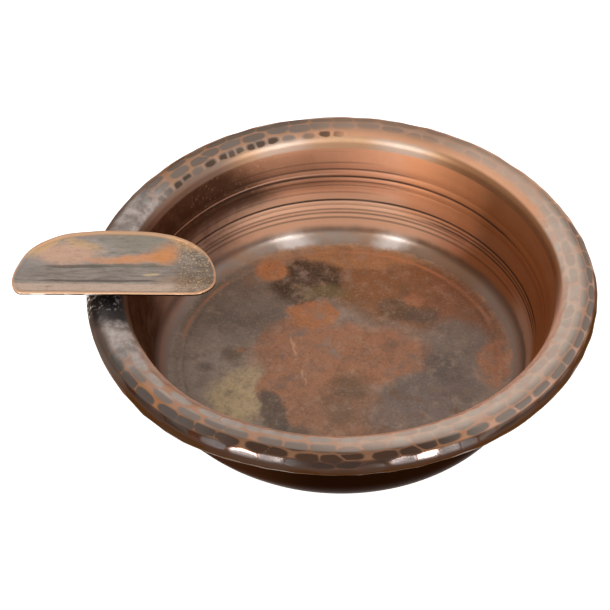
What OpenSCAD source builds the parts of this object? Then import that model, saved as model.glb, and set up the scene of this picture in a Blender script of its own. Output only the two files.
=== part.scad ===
// Copper smoker's bowl: a spun bowl with a broad, hand-hammered rolled rim, and a D-shaped
// cigar rest soldered on top of the rim.
// +Z is up. The origin is the centre of the flat underside. The rest lies over the rim on the
// -X side, with its trough running along X, towards the middle of the bowl.

/* [Bowl] */
// Outside diameter, over the rolled rim
rim_d = 165; // [140:1:200]
// Height of the rim's crown above the table
bowl_h = 41.5; // [38:0.5:56]
// Thickness of the bowl's copper sheet
sheet = 1; // [0.8:0.1:1.5]
// Lean of the wall, in degrees from upright
wall_lean = 14.5; // [8:0.5:22]
// Radius of the cove between the floor and the wall, inside
cove_r = 6; // [4:0.5:10]

/* [Rolled rim] */
// Width of the roll, from the bowl's mouth to its outer edge
roll_w = 13; // [10:0.5:16]
// Height of the roll, from its crown to its underside
roll_h = 10.6; // [8:0.2:12]
// Where the free edge stops, in degrees round the roll from the mouth over the crown
roll_end = 325; // [280:1:328]

/* [Cigar rest] */
// Length of the plate, along the trough
rest_l = 65.2; // [50:0.2:80]
// Width of the plate, from its straight front edge to the top of its arc
rest_w = 30; // [24:0.5:34]
// Thickness of the rest's copper sheet
rest_t = 1; // [0.8:0.1:1.6]
// Depth of the trough, from the plate's edges to its middle
trough_drop = 2.9; // [1:0.1:4]
// Width of the raised lip round the plate
lip_w = 1.3; // [0.8:0.1:2]
// Height of that lip above the trough's face
lip_h = 0.45; // [0.2:0.05:0.8]
// How far the plate's middle lies inside the rim's crown
rest_inset = 3.3; // [-4:0.1:6]

/* [Solder] */
// Diameter of the pad of solder under the rest
solder_d = 11; // [8:0.5:14]
// Thickness of the film of solder on the crown
solder_film = 0.2; // [0.1:0.05:0.5]

/* [Hidden] */
$fn = 180;

// The roll's section is an ellipse about this centre.
roll_a = roll_w / 2;
roll_b = roll_h / 2;
roll_r = rim_d / 2 - roll_a;
roll_z = bowl_h - roll_b;
roll_steps = 48;
cove_steps = 12;

// The wall leaves the roll where both have the same direction.
roll_start = atan(roll_b / roll_a * tan(wall_lean));

// The rest stands on the crown, with its straight edge at the front.
rest_z = bowl_h + solder_film;
front_y = -rest_w / 2;
back_y = rest_w / 2;
widest_y = front_y + 7;
corner_out = 3.6;
corner_in = 7.5;
arc_power = 0.75;
arc_steps = 48;
corner_steps = 8;
trough_steps = 24;
trough_round = 0.7;

function unit(v) = v / norm(v);

// A point on the roll, and the direction that points out of it there.
function roll_point(t) = [roll_r - roll_a * cos(t), roll_z + roll_b * sin(t)];
function roll_out(t) = unit([-roll_b * cos(t), roll_a * sin(t)]);
function roll_line(depth) = [
    for (i = [0:roll_steps])
        let (t = roll_start + (roll_end - roll_start) * i / roll_steps)
            roll_point(t) - depth * roll_out(t)
];

// The wall's inner face meets the floor's plane at this radius, and the cove rounds the corner.
mouth = roll_point(roll_start);
foot_r = mouth[0] - (mouth[1] - sheet) * tan(wall_lean);
cove_turn = 90 - wall_lean;
floor_r = foot_r - cove_r * tan(cove_turn / 2);
function cove_line(depth) = [
    for (i = [0:cove_steps])
        let (t = cove_turn * i / cove_steps, r = cove_r + depth)
            [floor_r + r * sin(t), sheet + cove_r - r * cos(t)]
];

// One side of the sheet, from the middle of the floor to the roll's free edge.
function face_line(depth) = concat([[0, sheet - depth]], cove_line(depth), roll_line(depth));
function backwards(list) = [for (i = [len(list) - 1:-1:0]) list[i]];

// The sheet is one spun piece: floor, cove, wall and rolled rim.
module bowl_shell() {
    color("peru")
        rotate_extrude()
            polygon(concat(face_line(0), backwards(face_line(sheet))));
}

// Height of the trough's face at y, above its lowest line.
trough_slope = sqrt(pow(trough_drop + trough_round, 2) - pow(trough_round, 2)) / back_y;
function trough(y) = sqrt(pow(trough_slope * y, 2) + pow(trough_round, 2)) - trough_round;
function trough_line(lift) = [
    for (i = [0:trough_steps])
        let (y = front_y - 1 + (rest_w + 2) * i / trough_steps) [y, trough(y) + lift]
];

// Outline of the plate, drawn in by inset on every side.
function rest_arc(inset) = [
    for (i = [0:arc_steps])
        let (t = 180 * i / arc_steps, c = cos(t), half = rest_l / 2 - inset)
            [half * sign(c) * pow(abs(c), arc_power),
             widest_y + (back_y - inset - widest_y) * pow(abs(sin(t)), arc_power)]
];
function rest_corner(x, width, inset, from) = [
    for (i = [1:corner_steps])
        let (t = from + 90 * i / corner_steps)
            [x + (width - inset) * cos(t), widest_y + (widest_y - front_y - inset) * sin(t)]
];
function rest_outline(inset) = concat(
    rest_arc(inset),
    rest_corner(corner_out - rest_l / 2, corner_out, inset, 180),
    rest_corner(rest_l / 2 - corner_in, corner_in, inset, 270)
);

// A slab that follows the trough, from below to above its face.
module trough_slab(below, above) {
    rotate([90, 0, 90])
        translate([0, 0, -rest_l])
            linear_extrude(2 * rest_l)
                polygon(concat(trough_line(-below), backwards(trough_line(above))));
}

module rest_prism(inset) {
    translate([0, 0, -10])
        linear_extrude(30)
            polygon(rest_outline(inset));
}

module rest_place() {
    translate([rest_inset - roll_r, 0, rest_z + rest_t])
        children();
}

module cigar_rest() {
    color("rosybrown")
        rest_place()
            difference() {
                intersection() {
                    rest_prism(0);
                    trough_slab(rest_t, lip_h);
                }
                intersection() {
                    rest_prism(lip_w);
                    trough_slab(0, 2 * lip_h);
                }
            }
}

// Solder fills the gap between the rest's underside and the crown of the rim.
module rest_solder() {
    pad_h = 3;
    color("dimgray")
        difference() {
            translate([-roll_r, 0, bowl_h - pad_h / 2])
                cylinder(h = pad_h, d = solder_d);
            rotate_extrude()
                polygon(roll_line(0));
            rest_place()
                trough_slab(rest_t, 2 * pad_h);
        }
}

bowl_shell();
cigar_rest();
rest_solder();
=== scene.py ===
import math

import bpy
import numpy as np
from mathutils import Matrix, Vector
from mathutils.geometry import delaunay_2d_cdt


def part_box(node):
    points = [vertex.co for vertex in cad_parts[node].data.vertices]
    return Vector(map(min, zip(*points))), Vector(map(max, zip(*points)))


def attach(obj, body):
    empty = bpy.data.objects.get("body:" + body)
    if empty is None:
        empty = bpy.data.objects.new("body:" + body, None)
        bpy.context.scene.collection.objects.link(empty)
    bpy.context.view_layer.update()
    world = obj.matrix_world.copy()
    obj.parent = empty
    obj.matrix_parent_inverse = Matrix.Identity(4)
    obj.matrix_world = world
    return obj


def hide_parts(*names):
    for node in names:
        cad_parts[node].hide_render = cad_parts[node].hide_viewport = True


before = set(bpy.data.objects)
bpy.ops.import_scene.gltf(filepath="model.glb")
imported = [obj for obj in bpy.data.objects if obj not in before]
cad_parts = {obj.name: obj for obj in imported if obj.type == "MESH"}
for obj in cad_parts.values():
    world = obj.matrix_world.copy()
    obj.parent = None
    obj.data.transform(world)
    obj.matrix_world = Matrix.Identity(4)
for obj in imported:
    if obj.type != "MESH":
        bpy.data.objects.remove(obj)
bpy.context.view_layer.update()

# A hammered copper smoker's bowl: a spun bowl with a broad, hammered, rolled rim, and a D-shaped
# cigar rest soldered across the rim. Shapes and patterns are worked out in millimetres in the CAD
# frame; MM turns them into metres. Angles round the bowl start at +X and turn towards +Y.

MM = 0.001
rng = np.random.default_rng(7)


def smooth(x, low, high):
    """0 below low, 1 above high, and a soft step between. low may be the larger of the two."""
    t = np.clip((np.asarray(x, float) - low) / (high - low), 0, 1)
    return t * t * (3 - 2 * t)


def bell(x, middle, width):
    return np.exp(-(((np.asarray(x, float) - middle) / width) ** 2))


def turn_from(angle, middle):
    """How many degrees angle lies from middle, either way round, from 0 to 180."""
    return np.abs((angle - middle + 180) % 360 - 180)


def new_piece(name, verts, faces, node, attributes=None):
    """A smooth-shaded mesh, from vertices in millimetres, that stands for one CAD node."""
    mesh = bpy.data.meshes.new(name)
    mesh.from_pydata((np.asarray(verts) * MM).tolist(), [], faces)
    mesh.validate()
    mesh.polygons.foreach_set("use_smooth", [True] * len(mesh.polygons))
    for key, values in (attributes or {}).items():
        layer = mesh.attributes.new(key, "FLOAT", "POINT")
        layer.data.foreach_set("value", np.asarray(values, np.float32))
    obj = bpy.data.objects.new(name, mesh)
    bpy.context.scene.collection.objects.link(obj)
    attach(obj, "root")
    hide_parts(node)
    return obj


# ------------------------------------------------------------------------------------------------
# The bowl: one spun sheet. Its section is followed from the middle of the floor, up the wall, over
# the roll to the free edge, and back along the other side of the sheet.

shell_low, shell_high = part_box("bowl_shell")
RIM_R = shell_high.x / MM
BOWL_H = shell_high.z / MM
SHEET = 1.0
WALL_LEAN = math.radians(14.5)
COVE_R = 6.0
ROLL_A = 6.5
ROLL_B = 5.3
ROLL_END = 325
ROLL_SHOWN = 238
HAMMER_END = 300
ROLL_R = RIM_R - ROLL_A
ROLL_Z = BOWL_H - ROLL_B
SEGMENTS = 740

# Lines left by the spinning tool: the deepest, and the least space between the section's points.
DEEPEST_LINE = 0.09
POINT_SPACE = 0.3
# The wall's lines: height, depth, half width.
WALL_LINES = [
    (27.8, 0.05, 0.4), (25.0, 0.08, 0.45), (22.4, 0.05, 0.4), (16.2, 0.09, 0.45),
    (14.4, 0.07, 0.4), (11.5, 0.04, 0.4),
]
# Rings turned into the floor: radius, depth, half width.
FLOOR_RINGS = [(53.0, 0.08, 0.5)]


def roll_point(t):
    """The roll's outer face at t degrees round its section, from the mouth over the crown."""
    a = math.radians(t)
    return ROLL_R - ROLL_A * math.cos(a), ROLL_Z + ROLL_B * math.sin(a)


def roll_out(t):
    a = math.radians(t)
    v = np.array([-ROLL_B * math.cos(a), ROLL_A * math.sin(a)])
    return v / np.linalg.norm(v)


def with_lines(values, lines):
    """values, with a point on each line's middle and edges, and none closer to those than POINT_SPACE."""
    keep = [v for m, _, h in lines for v in (m - h, m, m + h)]
    return sorted(keep + [v for v in values if all(abs(v - k) > POINT_SPACE for k in keep)])


def line_depth(x, lines):
    """How deep the lines cut at x, and how much of a line there is, from 0 to 1."""
    cut = sum(d * max(0, 1 - abs(x - m) / h) for m, d, h in lines)
    mark = max([d / DEEPEST_LINE * max(0, 1 - abs(x - m) / h) for m, d, h in lines])
    return cut, mark


def shell_section():
    """The section's points as rows: radius, height, normal, roll angle, line mark, outside or not."""
    start = math.degrees(math.atan(ROLL_B / ROLL_A * math.tan(WALL_LEAN)))
    mouth_r, mouth_z = roll_point(start)
    foot_r = mouth_r - (mouth_z - SHEET) * math.tan(WALL_LEAN)
    turn = math.pi / 2 - WALL_LEAN
    floor_r = foot_r - COVE_R * math.tan(turn / 2)
    wall_n = np.array([-math.cos(WALL_LEAN), math.sin(WALL_LEAN)])
    rows = []

    def add(r, z, n, t=0.0, mark=0.0, outside=0.0):
        rows.append((r, z, n[0], n[1], t, mark, outside))

    def cove(steps, depth, sign, outside):
        for k in steps:
            a = turn * k
            r = COVE_R + depth
            n = sign * np.array([-math.sin(a), math.cos(a)])
            add(floor_r + r * math.sin(a), SHEET + COVE_R - r * math.cos(a), n, outside=outside)

    for r in with_lines([0, 6, 12, 18, 24, 30, 36, 42, 48, 51, 54.4], FLOOR_RINGS):
        cut, mark = line_depth(r, FLOOR_RINGS)
        add(r, SHEET - cut, (0, 1), mark=mark)
    cove(np.linspace(0, 1, 9), 0, 1, 0)
    cove_top = SHEET + COVE_R * (1 - math.cos(turn))
    for z in with_lines(np.linspace(cove_top, mouth_z, 15)[1:-1], WALL_LINES):
        cut, mark = line_depth(z, WALL_LINES)
        r = foot_r + (z - SHEET) * math.tan(WALL_LEAN)
        add(r - cut * wall_n[0], z - cut * wall_n[1], wall_n, mark=mark)
    shown = list(np.linspace(start, ROLL_SHOWN, 50))
    tucked = list(np.linspace(ROLL_SHOWN, ROLL_END, 8))[1:]
    for t in shown + tucked:
        r, z = roll_point(t)
        add(r, z, roll_out(t), t=t)
    edge = roll_out(ROLL_END)
    along = np.array([-edge[1], edge[0]])
    r, z = roll_point(ROLL_END)
    add(r - 0.5 * SHEET * edge[0], z - 0.5 * SHEET * edge[1], along, t=ROLL_END, outside=1)
    for t in np.linspace(ROLL_END, start, 13):
        r, z = roll_point(t)
        n = roll_out(t)
        add(r - SHEET * n[0], z - SHEET * n[1], -n, t=0, outside=1)
    for z in np.linspace(mouth_z, cove_top, 7)[1:-1]:
        r = foot_r + (z - SHEET) * math.tan(WALL_LEAN)
        add(r - SHEET * wall_n[0], z - SHEET * wall_n[1], -wall_n, outside=1)
    cove(np.linspace(1, 0, 6), SHEET, -1, 1)
    for r in (30, 0):
        add(r, 0, (0, -1), outside=1)
    return np.array(rows)


def arc_length(t):
    """Distance along the roll's section from its start to t degrees, in millimetres."""
    fine = np.radians(np.linspace(0, 360, 721))
    step = np.hypot(ROLL_A * np.sin(fine), ROLL_B * np.cos(fine)) * (fine[1] - fine[0])
    return np.interp(t, np.degrees(fine), np.cumsum(step))


# Rows of hammer marks: their place round the roll in degrees, and how many marks go round.
HAMMER_ROWS = [(22, 92), (45, 92), (74, 60), (105, 60), (132, 60), (160, 60), (188, 60), (216, 60),
               (240, 60)]
MARK_LONG = 180
MARK_RADIUS = 6.0
MARK_HALF_HEIGHT = 1.75
MARK_HALF_TURN = 1.15
RIDGE_SOFT = 0.18

# Where the body is fuller, in degrees: its middle and width there, and how much in millimetres.
FULLER_AT = 230
FULLER_WIDE = 24
FULLER_BY = 3.0


def hammer_marks():
    """Each mark's arc length, angle round the bowl, depth, and how far it is drawn out sideways."""
    marks = []
    for t, count in HAMMER_ROWS:
        phase = rng.uniform(0, 360)
        gaps = np.clip(1 + rng.normal(0, 0.27, count), 0.55, 1.6)
        angles = phase + np.cumsum(gaps) / gaps.sum() * 360
        for angle in angles:
            place = arc_length(t) + rng.normal(0, 0.36)
            marks.append((place, angle % 360, rng.normal(0.2, 0.035), MARK_LONG / count))
    return np.array(marks)


def hammered(u, angle, radius):
    """Depth of the hammered surface, distance from the nearest ridge, and each mark's number."""
    marks = hammer_marks()
    shade = rng.uniform(0, 1, len(marks))
    depth = np.zeros(len(u))
    ridge = np.zeros(len(u))
    cell = np.zeros(len(u))
    for part in np.array_split(np.arange(len(u)), 60):
        du = u[part, None] - marks[None, :, 0]
        turn = (angle[part, None] - marks[None, :, 1] + 180) % 360 - 180
        dv = np.radians(turn) * radius[part, None] / marks[None, :, 3]
        d = (du ** 2 + dv ** 2) / (2 * MARK_RADIUS) - marks[None, :, 2]
        near = np.argsort(d, axis=1)[:, :3]
        sides = np.take_along_axis(d, near, 1)
        soft = 0.03
        depth[part] = -soft * np.log(np.exp(-sides / soft).sum(1))
        a, b = near[:, 0], near[:, 1]
        row = np.arange(len(part))
        gap = np.hypot(du[row, a] - du[row, b], dv[row, a] / marks[a, 3] - dv[row, b] / marks[b, 3])
        edge = (sides[:, 1] - sides[:, 0]) * MARK_RADIUS / np.maximum(gap, 0.3)
        half = np.radians(MARK_HALF_TURN) * radius[part]
        oval = (np.abs(du[row, a]) / MARK_HALF_HEIGHT) ** 2.5 + (np.abs(dv[row, a]) / half) ** 2.5
        round_edge = MARK_HALF_HEIGHT * (1 - oval ** 0.4)
        ridge[part] = -RIDGE_SOFT * np.log(np.exp(-edge / RIDGE_SOFT) + np.exp(-round_edge / RIDGE_SOFT))
        cell[part] = shade[a]
    return depth, ridge, cell


def build_shell():
    rows = shell_section()
    angle = np.arange(SEGMENTS) * 360 / SEGMENTS
    count = len(rows)
    grid_angle = np.tile(angle, (count, 1))
    r, z, nr, nz, t, mark, outside = (np.tile(c[:, None], (1, SEGMENTS)) for c in rows.T)
    on_roll = (t > 0) & (t < HAMMER_END) & (outside < 0.5)
    depth = np.zeros_like(r)
    ridge = np.full_like(r, 9.0)
    cell = np.full_like(r, 0.5)
    flat = on_roll.ravel()
    found = hammered(arc_length(t.ravel()[flat]), grid_angle.ravel()[flat], r.ravel()[flat])
    depth.ravel()[flat], ridge.ravel()[flat], cell.ravel()[flat] = found
    # The hammering fades out on the shoulder inside, below the roll, and under the rest.
    strength = smooth(t, 30, 44) * smooth(t, 262, 235)
    strength = strength * (1 - 0.8 * smooth(turn_from(grid_angle, 180), 36, 24))
    strength = strength * (1 - 0.7 * smooth(turn_from(grid_angle, 50), 55, 35) * smooth(t, 95, 70))
    strength = np.where(on_roll, strength, 0)
    push = np.where(on_roll, np.minimum(depth, 0.04) * strength, 0)
    # Hand work: the rim and wall wander a little from a true circle.
    a = np.radians(grid_angle)
    reach = smooth(z, 5, 38)
    wander = reach * (0.18 * np.sin(2 * a + 0.6) + 0.12 * np.sin(3 * a + 2.0) + 0.05 * np.sin(7 * a))
    # Middle and width in degrees, and how much in millimetres.
    for middle, width, much in ((148, 26, -1.0), (30, 22, -0.5), (343, 26, 0.6), (228, 18, 0.4)):
        wander = wander + reach * much * bell(turn_from(grid_angle, middle), 0, width)
    # The body is a little fuller at the left in front.
    fuller = smooth(z, 2, 12) * smooth(z, 36, 28)
    wander = wander + FULLER_BY * fuller * bell(turn_from(grid_angle, FULLER_AT), 0, FULLER_WIDE)
    lift = reach * (0.10 * np.sin(2 * a + 1.9) + 0.06 * np.sin(5 * a))
    for middle, width, much in ((228, 18, -0.6), (308, 16, -0.6)):
        lift = lift + reach * much * bell(turn_from(grid_angle, middle), 0, width)
    r = r + nr * push
    z = z + nz * push + lift
    r = np.where(r > 1, r + wander, r)
    verts = np.stack([r * np.cos(a), r * np.sin(a), z], -1)
    values = {
        "ridge": np.clip(ridge, -1, 2),
        "cell": cell,
        "hammer": strength,
        "mark": mark,
        "outside": outside,
        "roll": np.where(on_roll, t / 360, 0),
    }
    # The first and last rows are the two middles, one vertex each.
    keep = [verts[0, :1], verts[1:-1].reshape(-1, 3), verts[-1, :1]]
    attributes = {
        k: np.concatenate([v[0, :1], v[1:-1].ravel(), v[-1, :1]]) for k, v in values.items()
    }
    last = 1 + (count - 2) * SEGMENTS
    faces = []
    for j in range(SEGMENTS):
        k = (j + 1) % SEGMENTS
        faces.append((0, 1 + j, 1 + k))
        faces.append((last, last - SEGMENTS + k, last - SEGMENTS + j))
        for i in range(count - 3):
            a0 = 1 + i * SEGMENTS
            b0 = a0 + SEGMENTS
            faces.append((a0 + j, b0 + j, b0 + k, a0 + k))
    return new_piece(
        "bowl_shell_copper", np.concatenate(keep), faces, "bowl_shell", attributes
    )


shell = build_shell()

# ------------------------------------------------------------------------------------------------
# The cigar rest: a half-round plate, pressed into a shallow trough, with a lip all round.

rest_low, rest_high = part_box("cigar_rest")
REST_X = (rest_low.x + rest_high.x) / 2 / MM
REST_HALF = (rest_high.x - rest_low.x) / 2 / MM
REST_FRONT = rest_low.y / MM
REST_BACK = rest_high.y / MM
REST_Z = rest_low.z / MM
REST_T = 1.0
WIDEST_Y = REST_FRONT + 7


def rest_outline(count):
    """Points round the plate's edge, evenly spaced, counter-clockwise from +X."""
    power = 0.75
    points = []
    for t in np.linspace(0, math.pi, 240):
        c, s = math.cos(t), math.sin(t)
        x = REST_HALF * math.copysign(abs(c) ** power, c)
        points.append((x, WIDEST_Y + (REST_BACK - WIDEST_Y) * s ** power))
    drop = WIDEST_Y - REST_FRONT
    for x, width, first in ((3.6 - REST_HALF, 3.6, 180), (REST_HALF - 7.5, 7.5, 270)):
        for t in np.radians(np.linspace(first, first + 90, 40)):
            points.append((x + width * math.cos(t), WIDEST_Y + drop * math.sin(t)))
    points = np.array(points + points[:1])
    step = np.hypot(*np.diff(points, axis=0).T)
    along = np.concatenate([[0], np.cumsum(step)])
    at = np.linspace(0, along[-1], count, endpoint=False)
    return np.stack([np.interp(at, along, points[:, i]) for i in (0, 1)], -1)


def edge_distance(points, outline):
    """Distance of each point from the outline."""
    a = outline
    b = np.roll(outline, -1, 0)
    ab = b - a
    out = np.full(len(points), 1e9)
    for part in np.array_split(np.arange(len(points)), 40):
        ap = points[part, None] - a[None]
        t = np.clip((ap * ab).sum(2) / (ab * ab).sum(1), 0, 1)
        gap = ap - t[..., None] * ab
        out[part] = np.hypot(gap[..., 0], gap[..., 1]).min(1)
    return out


def wave(x, y, seed, size):
    """Slow, seeded unevenness from a few crossed waves, about -1 to 1."""
    own = np.random.default_rng(seed)
    total = np.zeros(len(x))
    for _ in range(7):
        a = own.uniform(0, 2 * math.pi)
        k = 2 * math.pi / (size * own.uniform(0.6, 1.6))
        total += np.sin(k * (x * math.cos(a) + y * math.sin(a)) + own.uniform(0, 6.28))
    return total / 3.2


def rest_height(x, y, d):
    """Height of the plate's upper face above its lowest line, d millimetres in from the edge."""
    valley = 0.8
    back = np.hypot(0.205 * (y - valley), 0.45) - 0.45
    front = np.hypot(0.26 * (y - valley), 0.5) - 0.5
    rise = np.where(y > valley, back, front)
    top = 2.45
    rise = top - np.log1p(np.exp((top - rise) * 4)) / 4
    lip = 0.36 * smooth(d, 1.35, 0.7) * (1 - smooth(d, 0.5, -0.12) ** 2 * 0.8)
    return rise + lip + 0.07 * wave(x, y, 3, 16) + 0.03 * wave(x, y, 5, 5)


def build_rest():
    count = 460
    outline = rest_outline(count)
    before, after = np.roll(outline, 1, 0), np.roll(outline, -1, 0)
    along = after - before
    along /= np.hypot(*along.T)[:, None]
    inward = np.stack([-along[:, 1], along[:, 0]], -1)
    offsets = [0, 0.08, 0.2, 0.38, 0.6, 0.85, 1.1, 1.35, 1.6, 1.9]
    rings = [outline + inward * o for o in offsets]
    gap = 0.46
    xs = np.arange(-REST_HALF, REST_HALF, gap)
    ys = np.arange(REST_FRONT, REST_BACK, gap * 0.87)
    grid = np.array([(x + gap / 2 * (j % 2), y) for j, y in enumerate(ys) for x in xs])
    inside = np.array([
        (grid[:, 0] - a[0]) * n[0] + (grid[:, 1] - a[1]) * n[1] > 0 for a, n in zip(outline, inward)
    ]).all(0)
    grid = grid[inside]
    grid = grid[edge_distance(grid, outline) > 2.2]
    flat = np.concatenate(rings + [grid])
    d = np.concatenate([np.full(count, o) for o in offsets] + [edge_distance(grid, outline)])
    edges = [(i, (i + 1) % count) for i in range(count)]
    made = delaunay_2d_cdt([Vector(p) for p in flat], edges, [], 1, 1e-5)
    faces = made[2]
    x, y = flat.T
    top = REST_Z + REST_T + rest_height(x, y, d)
    under = top - REST_T - 0.25 * smooth(d, 1.6, 0.6) + 0.5 * smooth(d, 0.3, 0)
    upper = np.stack([x + REST_X, y, top], -1)
    lower = np.stack([x + REST_X, y, under], -1)
    total = len(flat)
    solid = [tuple(f) for f in faces]
    solid += [tuple(total + i for i in reversed(f)) for f in faces]
    solid += [(i, total + i, total + (i + 1) % count, (i + 1) % count) for i in range(count)]
    return new_piece(
        "cigar_rest_copper",
        np.concatenate([upper, lower]),
        solid,
        "cigar_rest",
        {
            "edge": np.concatenate([np.minimum(d, 4)] * 2),
            "under": np.concatenate([np.zeros(total), np.ones(total)]),
        },
    )


rest = build_rest()

# ------------------------------------------------------------------------------------------------
# The solder: a lumpy run that fills the gap between the crown of the rim and the rest.

solder_low, solder_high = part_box("rest_solder")


def build_solder():
    around, up = 120, 16
    half_x = (solder_high.x - solder_low.x) / 2 / MM
    half_y = (solder_high.y - solder_low.y) / 2 / MM * 1.15
    base = solder_low.z / MM
    top = solder_high.z / MM - 0.15
    verts = []
    for i in range(up + 1):
        k = i / up
        for j in range(around):
            a = 2 * math.pi * j / around
            waist = 1 - 0.22 * math.sin(math.pi * k)
            lump = 1 + 0.05 * math.sin(3 * a + 1) + 0.04 * math.sin(7 * a + 5 * k)
            x = half_x * math.cos(a) * waist * lump
            y = half_y * math.sin(a) * waist * lump
            verts.append((x - ROLL_R, y, base + (top - base) * k))
    verts = np.array(verts)
    faces = [tuple(range(around))[::-1], tuple(up * around + j for j in range(around))]
    for i in range(up):
        for j in range(around):
            k = (j + 1) % around
            a0, b0 = i * around, (i + 1) * around
            faces.append((a0 + j, a0 + k, b0 + k, b0 + j))
    return new_piece("rest_solder_run", verts, faces, "rest_solder")


solder = build_solder()

# ------------------------------------------------------------------------------------------------
# Materials. Everything is worked out from object coordinates in millimetres and from the meshes'
# own attributes.


class Shader:
    """A small helper that builds one material's nodes."""

    def __init__(self, name):
        self.material = bpy.data.materials.new(name)
        self.material.use_nodes = True
        self.tree = self.material.node_tree
        self.surface = self.tree.nodes["Principled BSDF"]
        coords = self.add("ShaderNodeTexCoord")
        scale = self.add("ShaderNodeVectorMath", operation="SCALE")
        self.tree.links.new(coords.outputs["Object"], scale.inputs[0])
        scale.inputs["Scale"].default_value = 1 / MM
        self.place = scale.outputs[0]
        split = self.add("ShaderNodeSeparateXYZ")
        self.tree.links.new(self.place, split.inputs[0])
        self.x, self.y, self.z = split.outputs

    def add(self, kind, **settings):
        node = self.tree.nodes.new(kind)
        for key, value in settings.items():
            setattr(node, key, value)
        return node

    def put(self, value, socket):
        if isinstance(value, bpy.types.NodeSocket):
            self.tree.links.new(value, socket)
        elif isinstance(value, tuple):
            socket.default_value = (*value, 1)
        else:
            socket.default_value = value

    def math(self, operation, a, b=0.0):
        node = self.add("ShaderNodeMath", operation=operation)
        self.put(a, node.inputs[0])
        self.put(b, node.inputs[1])
        return node.outputs[0]

    def times(self, *values):
        out = values[0]
        for value in values[1:]:
            out = self.math("MULTIPLY", out, value)
        return out

    def plus(self, *values):
        out = values[0]
        for value in values[1:]:
            out = self.math("ADD", out, value)
        return out

    def minus(self, a, b):
        return self.math("SUBTRACT", a, b)

    def rest_of(self, a):
        return self.math("SUBTRACT", 1.0, a)

    def most(self, a, b):
        return self.math("MAXIMUM", a, b)

    def distance(self, value, middle):
        return self.math("ABSOLUTE", self.minus(value, middle))

    def zone(self, value, middle, none, full):
        """0 where value lies none away from middle, 1 where it lies full away, soft between."""
        return self.step(self.distance(value, middle), none, full)

    def sway(self, noise, reach):
        """Noise as a shift either way, over reach in all."""
        return self.times(self.minus(noise, 0.5), reach)

    def plan_radius(self):
        """Distance from the Z axis."""
        return self.math("SQRT", self.plus(self.times(self.x, self.x), self.times(self.y, self.y)))

    def step(self, value, low, high, to_low=0.0, to_high=1.0):
        """A soft step: to_low where value is low or less, to_high where it is high or more."""
        node = self.add("ShaderNodeMapRange", interpolation_type="SMOOTHSTEP")
        if low > high:
            low, high, to_low, to_high = high, low, to_high, to_low
        self.put(value, node.inputs["Value"])
        node.inputs["From Min"].default_value = low
        node.inputs["From Max"].default_value = high
        node.inputs["To Min"].default_value = to_low
        node.inputs["To Max"].default_value = to_high
        return node.outputs[0]

    def attribute(self, name):
        return self.add("ShaderNodeAttribute", attribute_name=name).outputs["Fac"]

    def vector(self, x, y, z):
        node = self.add("ShaderNodeCombineXYZ")
        for value, socket in zip((x, y, z), node.inputs):
            self.put(value, socket)
        return node.outputs[0]

    def noise(self, size, detail=3.0, rough=0.55, at=None, colour=False, seed=0.0):
        """Noise with features about size millimetres across, from 0 to 1."""
        node = self.add("ShaderNodeTexNoise", noise_dimensions="4D")
        node.inputs["W"].default_value = seed
        self.tree.links.new(at or self.place, node.inputs["Vector"])
        node.inputs["Scale"].default_value = 1 / size
        node.inputs["Detail"].default_value = detail
        node.inputs["Roughness"].default_value = rough
        return node.outputs["Color" if colour else "Fac"]

    def mix(self, amount, a, b):
        node = self.add("ShaderNodeMix", data_type="RGBA")
        self.put(amount, node.inputs["Factor"])
        self.put(a, node.inputs[6])
        self.put(b, node.inputs[7])
        return node.outputs[2]

    def shaken(self, amount, size):
        """The place on the plan, moved about by noise, so that patches get ragged edges."""
        coarse = self.noise(size, 5.0, 0.62, colour=True)
        shift = self.add("ShaderNodeVectorMath", operation="SUBTRACT")
        self.tree.links.new(coarse, shift.inputs[0])
        shift.inputs[1].default_value = (0.5, 0.5, 0.5)
        grow = self.add("ShaderNodeVectorMath", operation="MULTIPLY_ADD")
        self.tree.links.new(shift.outputs[0], grow.inputs[0])
        grow.inputs[1].default_value = (amount, amount, 0)
        self.tree.links.new(self.place, grow.inputs[2])
        level = self.add("ShaderNodeVectorMath", operation="MULTIPLY")
        self.tree.links.new(grow.outputs[0], level.inputs[0])
        level.inputs[1].default_value = (1, 1, 0)
        return level.outputs[0]

    def patch(self, at, x, y, rx, ry, tilt, soft):
        """An elliptical patch on the plan at (x, y): 1 inside, 0 outside, with a soft edge."""
        node = self.add("ShaderNodeMapping", vector_type="TEXTURE")
        self.tree.links.new(at, node.inputs["Vector"])
        node.inputs["Location"].default_value = (x, y, 0)
        node.inputs["Rotation"].default_value = (0, 0, math.radians(tilt))
        node.inputs["Scale"].default_value = (rx, ry, 1)
        size = self.add("ShaderNodeVectorMath", operation="LENGTH")
        self.tree.links.new(node.outputs[0], size.inputs[0])
        edge = min(0.8, soft / math.sqrt(rx * ry))
        return self.step(size.outputs["Value"], 1 + edge, 1 - edge)

    def bump(self, height, distance, strength=1.0, on=None):
        node = self.add("ShaderNodeBump")
        self.put(height, node.inputs["Height"])
        node.inputs["Distance"].default_value = distance * MM
        node.inputs["Strength"].default_value = strength
        if on is not None:
            self.tree.links.new(on, node.inputs["Normal"])
        return node.outputs[0]

    def finish(self, colour, rough, normal, metallic=1.0, edge_tint=(1, 1, 1)):
        self.put(colour, self.surface.inputs["Base Color"])
        self.put(rough, self.surface.inputs["Roughness"])
        self.put(metallic, self.surface.inputs["Metallic"])
        self.put(edge_tint, self.surface.inputs["Specular Tint"])
        self.tree.links.new(normal, self.surface.inputs["Normal"])
        return self.material


STUDIO = 0.55
FLOOR_GAIN = 0.95


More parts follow.
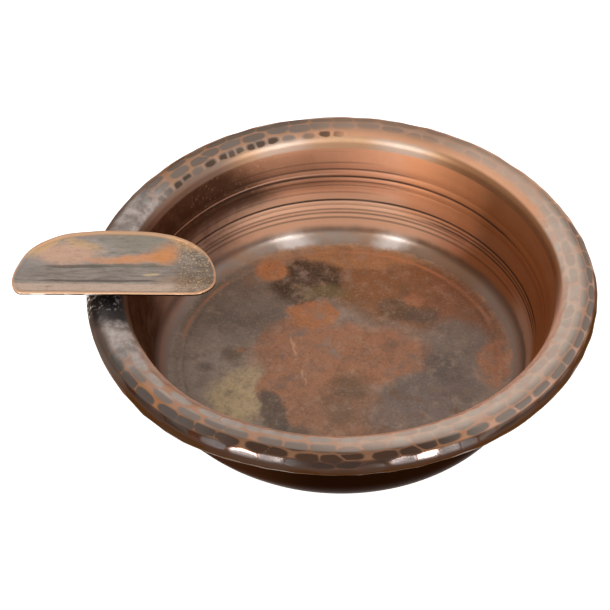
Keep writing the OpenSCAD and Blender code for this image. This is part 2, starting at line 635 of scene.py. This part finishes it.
def tone(red, green, blue, light=STUDIO):
    """The metal's own colour, from how it looks, 0 to 255, where it mirrors light of this strength."""
    def linear(v):
        v /= 255
        return min(0.95, (v / 12.92 if v <= 0.04045 else ((v + 0.055) / 1.055) ** 2.4) / light)
    return (linear(red), linear(green), linear(blue))


COPPER_RED = tone(150, 107, 82)


# A dark brown that serves only as painted shade on the wall.
PAINTED_SHADE_BROWN = (0.10, 0.045, 0.025)
LINE_BLACK = (0.07, 0.045, 0.035)
# The flashes on the rim lie this many degrees either side of the front.
FLASH_TURN = 19


class BowlShader(Shader):
    """The bowl's nodes, with the measures, noises and zones that its parts share."""

    def __init__(self, name):
        super().__init__(name)
        self.ridge = self.attribute("ridge")
        self.cell = self.attribute("cell")
        self.hammer = self.attribute("hammer")
        self.roll = self.times(self.attribute("roll"), 360)
        # Degrees round the bowl from +X, and degrees round it from the front, positive to the right.
        self.angle = self.math("DEGREES", self.math("ARCTAN2", self.y, self.x))
        self.around = self.math("DEGREES", self.math("ARCTAN2", self.x, self.times(self.y, -1)))
        self.fine = self.noise(0.9, 4, 0.7)
        self.middle = self.noise(5, 5, 0.65)
        self.broad = self.noise(22, 4, 0.6)
        self.at = self.shaken(10.0, 9.0)
        self.close = self.shaken(4.0, 3.0)
        # The place, squeezed on the plan, so that noise is drawn out round the wall.
        self.tall = self.vector(self.times(self.x, 0.03), self.times(self.y, 0.03), self.z)
        self.streak = self.noise(0.8, 3, 0.6, at=self.tall)
        # How far inside a hammer mark a point lies, and its height, both made ragged.
        self.edge = self.plus(self.ridge, self.sway(self.fine, 0.35), self.sway(self.middle, 0.35))
        self.ragged = self.plus(self.z, self.sway(self.middle, 2.0))
        self.cove_band = self.times(self.step(self.ragged, 7.5, 4.5), self.step(self.ragged, 0.9, 1.6))
        self.shoulder = self.step(self.roll, 1, 5)
        self.on_roll = self.step(self.roll, 32, 46)
        self.left_front = self.zone(self.around, -50, 60, 25)
        self.centre = self.zone(self.around, -2, 36, 16)
        self.right_side = self.times(self.step(self.around, 20, 42), self.step(self.around, 176, 130))
        self.late = self.minus(self.roll, self.times(self.right_side, 12))
        self.darker = self.times(self.zone(self.angle, 125, 42, 26), self.step(self.roll, 118, 108))
        # Heat from soldering has greyed the rim beside the rest.
        self.greyed = self.times(self.zone(self.around, -90, 40, 24), self.step(self.roll, 15, 45))


def floor_colour(s):
    """Clean copper where the patina has worn away, with grey and brown patches round it."""
    floor = s.mix(s.step(s.middle, 0.35, 0.65), tone(120, 106, 96), tone(136, 120, 108))
    patches = [
        # x, y, rx, ry, tilt, softness of the edge, colour, amount
        (20, 36, 36, 18, -25, 6, tone(126, 88, 58), 0.95),
        (0, 52, 44, 7, 0, 3, tone(160, 120, 86), 0.7),
        (44, 20, 14, 24, 20, 6, tone(128, 90, 68), 0.8),
        (-32, 30, 26, 15, 30, 5, tone(110, 98, 87), 0.8),
        (-12, 38, 13, 11, 15, 2.5, tone(66, 53, 42), 0.95),
        (-6, 33, 8, 4, 0, 3, tone(110, 100, 68), 0.7),
        (-24, 44, 5.5, 5.5, 20, 1.5, tone(160, 110, 74), 1.0),
        (-42, -6, 13, 20, 0, 7, tone(140, 124, 112), 0.8),
        (-33, -16, 10, 13, -15, 4, tone(172, 150, 116), 0.9),
        (1, 2, 30, 15, 0, 4, COPPER_RED, 1.0),
        (-17, 8, 11, 13, 10, 0.9, COPPER_RED, 1.0),
        (-10, 22, 8.5, 6.5, 0, 0.8, tone(158, 107, 74), 1.0),
        (-12, -14, 15, 17, 15, 1.0, COPPER_RED, 1.0),
        (4, -25, 21, 12, 0, 5, tone(140, 103, 81), 0.95),
        (12, 4, 8, 6, 0, 4, tone(140, 98, 74), 0.7),
        (3, -12, 6, 5.5, 20, 3.5, tone(104, 84, 68), 0.8),
        (0, -24, 5, 5, 60, 3, tone(104, 86, 72), 0.6),
        (19, 25, 7, 5, -20, 2, tone(92, 76, 62), 0.8),
        (28, 22, 6, 4, 10, 2, tone(88, 77, 68), 0.8),
        (25, 29.5, 3.4, 3, 0, 1, tone(156, 106, 78), 0.9),
        (40, 8, 10, 13, 25, 4, tone(116, 106, 98), 0.9),
        (30, -14, 17, 10, 12, 3, tone(108, 97, 90), 0.95),
        (24, -24, 16, 9, 10, 4, tone(116, 102, 94), 0.85),
        (34, -2, 6, 9, 30, 3, tone(92, 84, 78), 0.8),
        (-22, -24, 4.2, 10, 14, 1.5, tone(88, 78, 70), 0.9),
        (-15, -34, 6, 4, 0, 2, tone(86, 76, 68), 0.7),
        (52, 0, 5.5, 12, -8, 2.5, tone(156, 108, 80), 0.8),
        (-36, 3, 3.5, 3.5, 0, 1.5, tone(96, 80, 66), 0.8),
        (-33, 5, 1.5, 1.2, 0, 0.6, tone(156, 108, 70), 0.9),
        (-45, -3, 2.4, 2.2, 0, 1.5, tone(88, 78, 72), 0.7),
        (-36, 18, 7, 9, 30, 4, tone(98, 88, 80), 0.7),
        (-24, 20, 5, 8, -20, 3, tone(96, 86, 78), 0.6),
    ]
    for x, y, rx, ry, tilt, soft, colour, amount in patches:
        use = s.at if max(rx, ry) > 7 else s.close
        colour = tuple(FLOOR_GAIN * c for c in colour)
        floor = s.mix(s.times(s.patch(use, x, y, rx, ry, tilt, soft), amount), floor, colour)
    mottles = [
        # size, detail and seed of the noise, where it starts and is full, amount, colour
        (6, 5, 3, 0.46, 0.72, 0.5, tone(88, 74, 64)),
        (4.5, 5, 5, 0.48, 0.72, 0.36, tone(168, 142, 122)),
        (1.1, 4, 8, 0.48, 0.74, 0.5, tone(88, 76, 66)),
        (0.9, 4, 9, 0.50, 0.74, 0.3, tone(186, 156, 132)),
    ]
    for size, detail, seed, first, full, amount, colour in mottles:
        grain = s.noise(size, detail, 0.7, seed=seed)
        floor = s.mix(s.times(s.step(grain, first, full), amount), floor, colour)
    scratches = s.most(s.patch(s.close, -15.8, 7.5, 0.5, 6, 14, 0.4),
                       s.patch(s.close, -12, -7.5, 0.4, 4, 14, 0.4))
    return s.mix(s.times(scratches, 0.45), floor, tone(186, 148, 122))


def bare_wall_colour(s):
    """The wall without its lines: bright copper at the back, browned towards the sides, with painted
    light and shade over parts of it.
    """
    angle, middle, broad = s.angle, s.middle, s.broad
    wide_streak = s.noise(3.2, 3, 0.55, at=s.tall)
    wall = s.mix(s.step(middle, 0.3, 0.7), (0.95, 0.50, 0.32), (0.92, 0.44, 0.26))
    wall = s.mix(s.times(s.step(s.z, 17, 26), 0.5), wall, (0.66, 0.32, 0.18))
    right = s.step(s.plus(angle, s.sway(broad, 40)), 66, 38)
    wall = s.mix(s.times(right, 0.9), wall, (0.44, 0.17, 0.055))
    wall = s.mix(s.times(s.step(s.streak, 0.5, 0.75), 0.25), wall, (0.34, 0.18, 0.12))
    wall = s.mix(s.times(s.step(wide_streak, 0.52, 0.75), 0.30), wall, (0.46, 0.30, 0.22))
    top_band = s.step(s.plus(s.z, s.sway(middle, 6)), 28, 34)
    wall = s.mix(s.times(top_band, 0.2), wall, (0.46, 0.26, 0.15))
    # The left of the wall is darker, partly brown patina and partly painted shade: darkest high up,
    # greyer low down.
    browned_shade_at = s.plus(angle, s.sway(broad, 16))
    left = s.most(s.step(browned_shade_at, 103, 118), s.step(angle, -95, -115))
    high = s.step(s.plus(s.z, s.sway(middle, 8)), 16, 24)
    shade_low_down = s.most(s.step(s.plus(angle, s.times(s.z, -0.9)), 82, 98), s.step(angle, -95, -115))
    darkest_brown_shade = s.mix(s.step(middle, 0.42, 0.62), (0.085, 0.042, 0.025), (0.15, 0.085, 0.052))
    dull = s.mix(s.step(middle, 0.40, 0.60), (0.46, 0.31, 0.24), (0.36, 0.23, 0.17))
    browned_and_shaded = s.mix(s.most(high, s.zone(angle, 0, 158, 172)), dull, darkest_brown_shade)
    wall = s.mix(s.times(left, s.most(s.rest_of(high), s.plus(0.25, s.times(shade_low_down, 0.75))), 0.95),
                 wall, browned_and_shaded)
    scraped = s.times(s.step(s.noise(1.3, 4, 0.7), 0.56, 0.68), s.step(s.z, 20, 26),
                      s.zone(angle, 127, 26, 14))
    wall = s.mix(s.times(scraped, 0.7), wall, (0.80, 0.48, 0.32))
    # Painted shade: the upper wall at the back left is darkened.
    painted_shade_high = s.times(s.step(s.z, 18, 23), s.step(angle, 82, 102), s.step(s.z, 38, 31, 0.4, 1.0))
    wall = s.mix(s.times(painted_shade_high, s.step(broad, 0.3, 0.6, 0.36, 0.54)), wall, PAINTED_SHADE_BROWN)
    # Painted shade: the wall towards the right at the back is darkened a little.
    shade = s.times(s.step(angle, 76, 58), s.step(angle, 20, 50))
    wall = s.mix(s.times(shade, 0.12), wall, PAINTED_SHADE_BROWN)
    # Painted light: the lower wall at the back is made brighter.
    painted_light_back = s.times(s.step(s.z, 21, 16), s.zone(angle, 92, 44, 24))
    wall = s.mix(s.times(painted_light_back, 0.9), wall, (1.0, 0.66, 0.46))
    # Painted light: the foot of the wall at the right is made paler.
    painted_light_foot = s.times(s.zone(angle, -4, 30, 14), s.step(s.z, 15, 9))
    wall = s.mix(s.times(painted_light_foot, 0.8), wall, (0.70, 0.46, 0.34))
    rich = s.zone(angle, 58, 18, 8)
    wall = s.mix(s.times(rich, s.step(s.z, 10, 16), 0.6), wall, (0.80, 0.33, 0.14))
    return wall


def wall_colour(s):
    """The wall with the dark lines that go part of the way round it."""
    wall = bare_wall_colour(s)
    angle = s.angle
    broken = s.step(s.noise(16, 3, 0.6, at=s.vector(s.x, s.y, s.times(s.z, 3))), 0.3, 0.55)
    wall = s.mix(s.times(s.attribute("mark"), s.plus(0.1, s.times(broken, 0.3))), wall, LINE_BLACK)
    stains = [
        # height, half width, amount, from and to in degrees round the bowl
        (30.2, 0.50, 0.40, 82, 128),
        (27.7, 0.55, 0.65, 70, 125),
        (25.0, 0.65, 0.9, 30, 135),
        (23.2, 0.45, 0.6, 72, 128),
        (21.8, 0.45, 0.5, 72, 128),
        (19.2, 0.55, 0.35, 80, 150),
        (16.2, 0.65, 0.9, 0, 148),
        (14.8, 0.5, 0.65, 0, 62),
        (13.5, 0.6, 0.85, 0, 62),
        (12.7, 0.5, 0.5, 48, 142),
        (11.3, 0.5, 0.5, 48, 142),
        (9.6, 0.6, 0.45, 20, 145),
    ]
    for height, half, amount, first, last in stains:
        line = s.zone(s.z, height, half, half * 0.2)
        turn = s.zone(angle, (first + last) / 2, (last - first) / 2 + 8, (last - first) / 2 - 8)
        wall = s.mix(s.times(line, turn, s.step(s.streak, 0.25, 0.5, 0.5, 1.0), amount),
                     wall, LINE_BLACK)
    thin = s.times(s.zone(s.z, 25.9, 0.35, 0.1),
                   s.zone(angle, 122, 36, 26))
    wall = s.mix(s.times(thin, 0.6), wall, (0.85, 0.56, 0.42))
    return wall


def cove_colour(s):
    """Grey and dark bands between the wall and the floor, with two painted highlights at the back."""
    angle = s.angle
    back_turn = s.zone(angle, 104, 52, 36)
    blotchy = s.step(s.noise(9, 4, 0.6, seed=2), 0.36, 0.56)
    cove = s.mix(s.times(back_turn, blotchy), (0.32, 0.19, 0.12), (0.27, 0.235, 0.21))
    cove = s.mix(s.times(s.step(angle, 84, 66), 0.85), cove, (0.19, 0.11, 0.068))
    dark_turn = s.times(s.step(angle, 44, 30), s.step(angle, -34, -20))
    cove = s.mix(s.times(dark_turn, 0.9), cove, (0.22, 0.17, 0.14))
    left_turn = s.zone(angle, 0, 128, 156)
    cove = s.mix(left_turn, cove, (0.26, 0.19, 0.16))
    # Two pale patches at the back of the cove are painted highlights.
    for x in (-17, 18):
        cove = s.mix(s.times(s.patch(s.close, x, 57, 6, 2.6, 0, 3), 0.85), cove, (0.90, 0.83, 0.79))
    return cove


def mark_colour(s):
    """Patina left in the hammer marks."""
    roll, centre, right_side = s.roll, s.centre, s.right_side
    turn = s.distance(s.around, 0)
    hollow = s.mix(s.step(s.cell, 0.1, 0.9), tone(156, 141, 131), tone(126, 110, 100))
    light_top = s.times(s.left_front, s.step(roll, 112, 92))
    hollow = s.mix(s.times(light_top, 0.7), hollow, tone(166, 153, 144))
    hollow = s.mix(s.times(s.step(s.middle, 0.42, 0.62), 0.35), hollow, tone(138, 114, 98))
    hollow = s.mix(s.times(s.step(roll, 88, 100), 0.85), hollow, tone(124, 110, 101, 0.7))
    # Outside the crown the marks are dark: grey at the left, near black in front, grey at the right.
    outer = s.mix(right_side, tone(96, 85, 78, 0.78), tone(128, 115, 106, 0.66))
    outer = s.mix(centre, outer, tone(74, 54, 43, 0.85))
    hollow = s.mix(s.step(s.late, 112, 120), hollow, outer)
    low = s.mix(right_side, tone(80, 69, 62, 0.85), tone(110, 90, 80, 0.85))
    # Paler marks either side of the front, where the lamps' flashes fall, are painted highlight.
    low = s.mix(s.zone(turn, FLASH_TURN, 14, 8), low, tone(96, 87, 84, 0.85))
    low = s.mix(s.step(turn, 12, 6), low, tone(64, 50, 44, 0.85))
    hollow = s.mix(s.step(roll, 143, 150), hollow, low)
    return s.mix(s.times(s.darker, 0.7), hollow, tone(118, 104, 94))


def crest_colour(s):
    """Worn copper on the ridges between the marks."""
    roll, centre, right_side = s.roll, s.centre, s.right_side
    crest = s.mix(s.step(roll, 80, 106), tone(184, 148, 126), tone(172, 130, 106, 0.65))
    crest = s.mix(s.times(s.step(s.middle, 0.4, 0.6), 0.5), crest, tone(154, 112, 88))
    outer = s.mix(right_side, tone(168, 116, 80, 0.78), tone(204, 160, 137, 0.78))
    outer = s.mix(centre, outer, tone(136, 98, 74, 0.85))
    crest = s.mix(s.step(s.late, 107, 116), crest, outer)
    low = s.mix(right_side, tone(76, 42, 26, 0.78), tone(104, 72, 56, 0.78))
    low = s.mix(centre, low, tone(88, 62, 49, 0.85))
    # Painted shade: the crests round the flashes are made near black, so each flash stays on one mark.
    flash_shade = s.zone(s.distance(s.around, 0), FLASH_TURN, 16, 9)
    low = s.mix(s.times(flash_shade, 0.8), low, (0.045, 0.026, 0.018))
    crest = s.mix(s.step(roll, 138, 148), crest, low)
    crest = s.mix(s.times(s.darker, 0.55), crest, tone(170, 126, 96))
    return s.mix(s.times(s.left_front, s.step(roll, 118, 108), 0.6), crest, tone(150, 112, 90))


def rim_colour(s):
    """The hammered rim: rubbed at the right, browned at the back, scorched beside the rest, with painted
    highlights and shade in places.
    """
    angle, around, roll, middle = s.angle, s.around, s.roll, s.middle
    deep = s.plus(s.edge, s.times(s.left_front, 0.1), s.times(s.darker, 0.12))
    inside_mark = s.times(s.step(deep, 0.02, 0.46), s.step(s.hammer, 0.08, 0.4))
    rim = s.mix(inside_mark, crest_colour(s), mark_colour(s))
    # The right side is rubbed smoother on top, so the marks show less there.
    hazy = s.mix(s.step(middle, 0.3, 0.7), tone(202, 176, 161), tone(188, 160, 144))
    rubbed = s.times(s.zone(angle, -15, 88, 58), s.step(roll, 124, 94))
    rim = s.mix(s.times(rubbed, 0.6), rim, hazy)
    inner_back = s.times(s.zone(angle, 60, 44, 32), s.step(roll, 80, 50))
    rim = s.mix(s.times(inner_back, 0.9), rim, tone(192, 138, 103))
    back_haze = s.times(s.zone(angle, 62, 44, 26), s.step(roll, 58, 92, 0.5, 1.0))
    rim = s.mix(s.times(back_haze, 0.5), rim, tone(176, 142, 120))
    back = s.zone(angle, 108, 62, 40)
    rim = s.mix(s.times(back, 0.25), rim, (0.08, 0.045, 0.03))
    # A painted highlight along the inner edge of the rim in front.
    edge_highlight = s.times(s.zone(around, 0, 100, 80), s.step(roll, 58, 46))
    rim = s.mix(s.times(edge_highlight, 0.7), rim, tone(182, 146, 124, 0.55))
    # Painted shade, partly dark patina: the underside of the roll is near black.
    side = s.zone(around, 0, 27, 42)
    under = s.step(s.plus(roll, s.sway(middle, 12), s.times(side, 18)), 162, 176)
    rim = s.mix(s.times(under, 0.94), rim, (0.05, 0.026, 0.017))
    # Soldering has greyed the rim beside the rest. Under the rest the rim is blackened, partly by soot
    # and partly as painted shade, with light flecks that are painted glints.
    ash = s.mix(s.step(middle, 0.35, 0.65), tone(172, 164, 159), tone(122, 114, 110))
    ash = s.mix(s.step(roll, 104, 138), ash, tone(70, 62, 57))
    rim = s.mix(s.times(s.greyed, 0.85), rim, ash)
    soot_and_shade_at = s.plus(s.y, s.sway(middle, 12))
    soot_and_shade = s.times(s.step(s.x, -58, -64), s.step(soot_and_shade_at, -27, -20), s.step(s.y, 13, 6))
    glint_flecks = s.times(s.step(s.noise(1.5, 3, 0.6, seed=12), 0.52, 0.62),
                     s.step(s.y, -20, -17), s.step(s.x, -69, -72))
    return s.mix(s.times(soot_and_shade, 0.93), rim, s.mix(glint_flecks, tone(50, 47, 46), tone(168, 166, 164)))


def dark_ovals(s):
    """A row of dark ovals just inside the crown at the back."""
    return s.times(s.zone(s.angle, 119, 32, 24), s.zone(s.roll, 45, 14, 8),
                   s.step(s.edge, 0.25, 0.75), s.step(s.cell, 0.02, 0.3, 0.2, 1.0))


def shoulder_colour(s):
    """The shoulder inside the crown, in zones round the bowl."""
    angle = s.angle
    inner = s.mix(s.step(s.broad, 0.4, 0.6), (0.56, 0.35, 0.21), (0.52, 0.30, 0.17))
    inner = s.mix(s.step(angle, 70, 52), inner, (0.34, 0.165, 0.08))
    inner = s.mix(s.step(angle, 6, -20), inner, (0.90, 0.60, 0.46))
    inner = s.mix(s.step(angle, -70, -90), inner, (0.80, 0.56, 0.42))
    left_side = s.most(s.step(angle, 116, 128), s.step(angle, -145, -160))
    inner = s.mix(s.times(left_side, 0.85), inner, (0.28, 0.20, 0.16))
    far_left = s.zone(angle, 0, 150, 165)
    inner = s.mix(s.times(far_left, 0.85), inner, (0.16, 0.10, 0.07))
    # Two paler patches at the back are painted highlights, where the lamps' highlights fall.
    painted_highlights = s.zone(s.distance(angle, 90), 17, 13, 3)
    return s.mix(s.times(painted_highlights, 0.65), inner, (0.52, 0.43, 0.37))


def bowl_colour(s):
    """All the zones put together, from the floor outwards."""
    colour = s.mix(s.step(s.ragged, 1.0, 1.9), floor_colour(s), wall_colour(s))
    colour = s.mix(s.times(s.cove_band, 0.85), colour, cove_colour(s))
    ring = s.zone(s.plan_radius(), 54.2, 0.9, 0.3)
    ring = s.times(ring, s.step(s.y, 4, 18), s.step(s.z, 2.5, 1.5), s.step(s.noise(20, 2), 0.35, 0.55))
    colour = s.mix(s.times(ring, 0.5), colour, tone(172, 116, 82))
    colour = s.mix(s.shoulder, colour, shoulder_colour(s))
    colour = s.mix(s.on_roll, colour, rim_colour(s))
    colour = s.mix(s.times(dark_ovals(s), 0.85), colour, tone(78, 61, 49, 0.75))
    # The outside of the body is near black: partly dark patina, partly painted shade.
    left_body = s.zone(s.around, -75, 70, 42)
    below = s.mix(left_body, (0.009, 0.0045, 0.0016), (0.03, 0.012, 0.006))
    return s.mix(s.attribute("outside"), colour, below)


def bowl_roughness(s):
    """The roll is polished by handling, and the lower wall is the dullest."""
    rough = s.plus(0.50, s.sway(s.fine, 0.12), s.sway(s.middle, 0.14))
    rough = s.minus(rough, s.times(s.step(s.roll, 115, 130), 0.09))
    rough = s.minus(rough, s.times(s.step(s.roll, 45, 80), 0.20))
    rough = s.minus(rough, s.times(s.cove_band, 0.12))
    rough = s.plus(rough, s.times(s.step(s.z, 22, 12), s.step(s.z, 4, 8), 0.12))
    return s.plus(rough, s.times(s.greyed, 0.18))


def bowl_bumps(s):
    """Fine grain, turning lines on the wall, and the hammer marks' edges."""
    smoother = s.times(s.shoulder, s.step(s.roll, 70, 50))
    grain = s.bump(s.times(s.noise(0.6, 3, 0.6), s.rest_of(smoother)), 0.008, 0.5)
    lathe = s.times(s.noise(0.45, 2, 0.5, at=s.tall), s.rest_of(s.on_roll), s.step(s.z, 4, 8))
    lines = s.bump(lathe, 0.015, 0.5, on=grain)
    return s.bump(s.times(s.step(s.ridge, 0.0, 0.9), s.hammer), 0.04, 0.5, on=lines)


def bowl_material():
    s = BowlShader("aged_copper")
    # The patina on the floor and cove is an oxide crust, so it is only partly metallic.
    metal = s.rest_of(s.times(s.step(s.z, 9, 2), 0.4))
    return s.finish(
        bowl_colour(s), bowl_roughness(s), bowl_bumps(s), metallic=metal, edge_tint=(0.55, 0.45, 0.4)
    )


def rest_material():
    s = Shader("heat_stained_copper")
    from_edge = s.attribute("edge")
    under = s.attribute("under")
    fine = s.noise(0.8, 4, 0.7)
    middle = s.noise(4, 4, 0.6)
    long_way = s.vector(s.times(s.x, 0.25), s.y, s.z)
    drawn = s.noise(1.4, 5, 0.65, at=long_way)
    at = s.shaken(5.0, 4.0)
    calm = s.shaken(1.2, 6.0)
    colour = s.mix(s.step(drawn, 0.35, 0.65), tone(152, 142, 134), tone(128, 119, 112))
    patches = [
        # x, y, rx, ry, tilt, softness of the edge, colour, amount
        (-90, 5.5, 11, 4.5, 0, 3, tone(200, 152, 128), 0.8),
        (-84, 9.5, 7, 1.6, -14, 1.5, tone(196, 156, 116), 0.6),
        (-98, 8.5, 8, 2.2, 36, 1.2, tone(204, 156, 112), 0.8),
        (-79, 13.8, 12, 2.0, 0, 1.5, tone(142, 126, 118), 0.7),
        (-66, 10.5, 10, 4, 0, 3, tone(130, 122, 108), 0.75),
        (-76, 3.2, 8, 1.2, 0, 1, tone(186, 138, 108), 0.7),
        (-65, 3.8, 9, 1.7, 3, 2.2, tone(208, 134, 96), 0.85),
        (-57, 5.5, 4.5, 3.4, 20, 2.6, tone(212, 128, 80), 0.85),
        (-51, 11.5, 5.5, 3.2, -25, 1.5, tone(216, 154, 110), 0.8),
        (-86, 0.4, 11, 0.9, 0, 1.1, tone(88, 79, 72), 0.7),
        (-70, 0.8, 14, 0.8, 0, 1.2, tone(98, 92, 80), 0.6),
        (-61, -4.2, 2.8, 0.7, 4, 0.4, (0.95, 0.74, 0.46), 1.0),
        (-78, -8.3, 20, 0.7, 0, 0.8, tone(92, 82, 76), 0.75),
        (-100.5, 0, 4.5, 6, 0, 2.5, tone(140, 132, 126), 0.7),
        (-50, -8, 9, 3, 0, 2, tone(158, 130, 108), 0.6),
    ]
    for x, y, rx, ry, tilt, soft, shade, amount in patches:
        use = at if ry > 1 else calm
        colour = s.mix(s.times(s.patch(use, x, y, rx, ry, tilt, soft), amount), colour, shade)
    front = s.step(s.plus(s.y, s.sway(middle, 1.5)), -9.2, -10.6)
    colour = s.mix(s.times(front, 0.8), colour, tone(188, 162, 144))
    pitted = s.step(s.plus(s.x, s.sway(middle, 10)), -56, -49)
    pits = s.step(s.noise(0.75, 4, 0.75), 0.47, 0.62)
    rust = s.mix(pits, tone(96, 82, 70), tone(200, 164, 128))
    colour = s.mix(s.times(pitted, s.step(s.noise(3, 3), 0.3, 0.5), 0.65), colour, rust)
    colour = s.mix(s.times(s.step(fine, 0.5, 0.8), 0.35), colour, tone(88, 78, 70))
    scrape = s.noise(0.8, 4, 0.7, at=long_way, seed=4)
    colour = s.mix(s.times(s.step(scrape, 0.5, 0.75), 0.45), colour, tone(96, 88, 80))
    colour = s.mix(s.times(s.step(scrape, 0.45, 0.25), 0.35), colour, tone(196, 160, 128))
    colour = s.mix(s.times(s.step(drawn, 0.55, 0.75), 0.3), colour, tone(84, 74, 64))
    back_lip = s.times(s.step(from_edge, 2.0, 1.3), s.step(s.y, 4, 9))
    lip_colour = s.mix(drawn, tone(200, 148, 108), tone(166, 130, 106))
    colour = s.mix(s.times(back_lip, 0.8), colour, lip_colour)
    rim_line = s.times(s.step(from_edge, 0.80, 0.45), s.step(drawn, 0.25, 0.5, 0.5, 0.95))
    colour = s.mix(rim_line, colour, s.mix(middle, tone(210, 160, 130), tone(176, 128, 96)))
    colour = s.mix(s.times(s.step(from_edge, 2.2, 1.4), s.step(from_edge, 0.9, 1.3), 0.12),
                   colour, tone(88, 78, 70))
    # The underside and lower edge face are near black, painted shade, with painted highlights along part
    # of the front edge.
    edge_glints = s.times(s.step(s.noise(1.6, 3, 0.6, at=long_way, seed=6), 0.42, 0.56),
                          s.step(s.x, -74, -82), s.step(s.x, -104, -96), s.step(from_edge, 0.2, 0.05))
    below = s.mix(s.times(edge_glints, 0.85), (0.05, 0.032, 0.026), (0.80, 0.76, 0.72))
    colour = s.mix(s.times(s.step(under, 0.0, 0.4), 0.95), colour, below)
    rough = s.plus(0.38, s.sway(middle, 0.2), s.times(pitted, 0.12))
    grain = s.bump(s.noise(0.7, 3, 0.6), 0.03, 0.6)
    scars = s.bump(s.times(pits, pitted), 0.12, 0.8, on=grain)
    drawn_lines = s.bump(drawn, 0.05, 0.5, on=scars)
    return s.finish(colour, rough, drawn_lines, edge_tint=(0.6, 0.5, 0.45))


def solder_material():
    s = Shader("soft_solder")
    lumps = s.noise(1.4, 4, 0.65)
    fine = s.noise(0.5, 3, 0.6)
    colour = s.mix(s.step(lumps, 0.4, 0.62), (0.05, 0.045, 0.04), (0.35, 0.33, 0.31))
    rough = s.plus(0.38, s.sway(fine, 0.3))
    grain = s.bump(lumps, 0.25, 0.9)
    return s.finish(colour, rough, s.bump(fine, 0.05, 0.6, on=grain))


shell.data.materials.append(bowl_material())
rest.data.materials.append(rest_material())
solder.data.materials.append(solder_material())

# ------------------------------------------------------------------------------------------------
# Stage: a pale floor and soft studio lights.


def floor_material():
    """A lit shooting table: white where the bowl stands, and dimmer further out."""
    s = Shader("pale_floor")
    cloud = s.noise(90, 2, 0.5)
    colour = s.mix(cloud, (0.90, 0.90, 0.90), (0.92, 0.92, 0.92))
    radius = s.plan_radius()
    s.surface.inputs["Emission Color"].default_value = (1, 1, 1, 1)
    s.put(s.step(radius, 520, 200, 0.0, 0.8), s.surface.inputs["Emission Strength"])
    return s.finish(colour, 0.7, s.bump(s.noise(3, 2, 0.5), 0.02, 0.3), metallic=0.0)


def build_floor():
    half = 3.0
    mesh = bpy.data.meshes.new("floor")
    corners = [(-half, -half, 0), (half, -half, 0), (half, half, 0), (-half, half, 0)]
    mesh.from_pydata(corners, [], [(0, 1, 2, 3)])
    mesh.materials.append(floor_material())
    obj = bpy.data.objects.new("floor", mesh)
    bpy.context.scene.collection.objects.link(obj)
    return obj


build_floor()


def soft_light(name, azimuth, elevation, distance, width, height, watts):
    """An area light that faces the bowl. Azimuth 0 is the camera's side; + is to the right."""
    data = bpy.data.lights.new(name, "AREA")
    data.shape = "RECTANGLE"
    data.size = width
    data.size_y = height
    data.energy = watts
    obj = bpy.data.objects.new(name, data)
    a, e = math.radians(azimuth), math.radians(elevation)
    away = Vector((math.sin(a) * math.cos(e), -math.cos(a) * math.cos(e), math.sin(e)))
    target = Vector((0, 0, BOWL_H * MM))
    obj.location = target + away * distance
    obj.rotation_euler = away.to_track_quat("Z", "Y").to_euler()
    bpy.context.scene.collection.objects.link(obj)
    return obj


for box_name, box_azimuth in (("left_box", -33), ("right_box", 33)):
    soft_light(box_name, box_azimuth, 11, 1.4, 0.14, 0.52, 8.5)

world = bpy.data.worlds.new("studio")
bpy.context.scene.world = world
world.use_nodes = True
sky = world.node_tree
background = sky.nodes["Background"]
ramp = sky.nodes.new("ShaderNodeMapRange")
where = sky.nodes.new("ShaderNodeTexCoord")
parts = sky.nodes.new("ShaderNodeSeparateXYZ")
sky.links.new(where.outputs["Generated"], parts.inputs[0])
sky.links.new(parts.outputs["Y"], ramp.inputs["Value"])
ramp.inputs["From Min"].default_value = -0.6
ramp.inputs["From Max"].default_value = 0.55
ramp.inputs["To Min"].default_value = 0.85
ramp.inputs["To Max"].default_value = 0.62
background.inputs["Color"].default_value = (1, 1, 1, 1)
sky.links.new(ramp.outputs[0], background.inputs["Strength"])

# Camera: in front of the bowl and above it, looking down at the middle of the rim.
CAMERA_AWAY = 0.836
CAMERA_DOWN = math.radians(42.96)
CAMERA_ROLL = math.radians(0.45)
camera_data = bpy.data.cameras.new("camera")
camera_data.sensor_width = 36
camera_data.lens = 152.7
camera_data.shift_x = -0.059
camera_data.shift_y = -0.054
camera = bpy.data.objects.new("camera", camera_data)
bpy.context.scene.collection.objects.link(camera)
away = Vector((0, -math.cos(CAMERA_DOWN), math.sin(CAMERA_DOWN)))
camera.location = Vector((0, 0, BOWL_H * MM)) + away * CAMERA_AWAY
facing = away.to_track_quat("Z", "Y").to_matrix()
camera.rotation_euler = (facing @ Matrix.Rotation(CAMERA_ROLL, 3, "Z")).to_euler()
bpy.context.scene.camera = camera
bpy.context.scene.view_settings.view_transform = "Standard"
